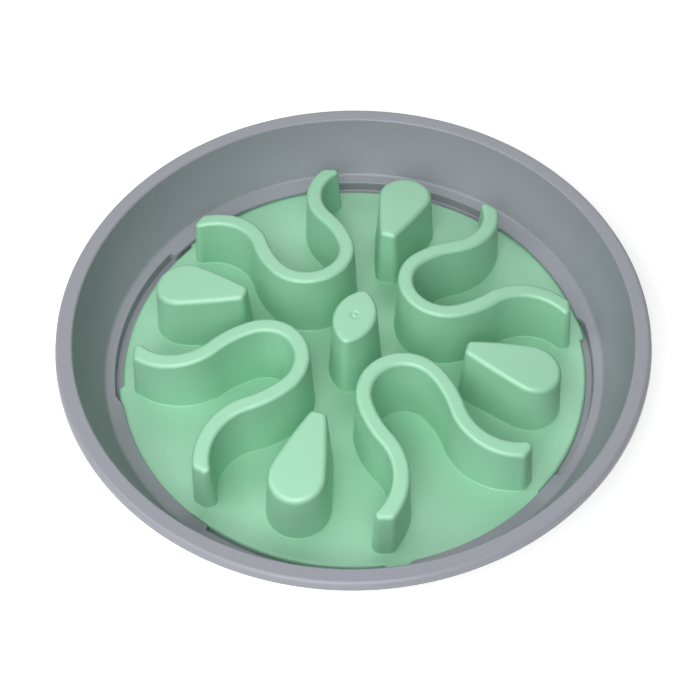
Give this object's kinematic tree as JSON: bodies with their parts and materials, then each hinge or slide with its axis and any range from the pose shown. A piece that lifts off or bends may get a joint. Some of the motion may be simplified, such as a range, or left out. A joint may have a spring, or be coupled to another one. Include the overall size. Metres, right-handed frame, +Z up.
{
  "type": "slow feeder bowl",
  "caption": "Shallow round pet bowl with a twist-lock maze insert of looped walls, teardrops and a centre post that slow eating.",
  "frame": {"origin": "centre of the bowl on the plane that its rubber pads stand on", "axes": "+Z up, along the bowl's axis and the insert's turning axis; +X and +Y each run along the middle of one of the four looped walls"},
  "size_m": [0.2618, 0.2618, 0.0444],
  "materials": {
    "bowl_plastic": "satin moulded plastic",
    "insert_plastic": "satin moulded plastic",
    "pad_rubber": "matt"
  },
  "bodies": {
    "bowl": {"bowl": "bowl_plastic", "pad_front_right": "pad_rubber", "pad_back_right": "pad_rubber", "pad_back_left": "pad_rubber", "pad_front_left": "pad_rubber"},
    "insert": {"maze_insert": "insert_plastic"}
  },
  "joints": [
    {"name": "insert_twist", "type": "hinge", "parent": "bowl", "child": "insert", "pos_m": [0, 0, 0.0068], "axis": [0, 0, 1], "range_deg": [-40.25, 2.5]}
  ]
}
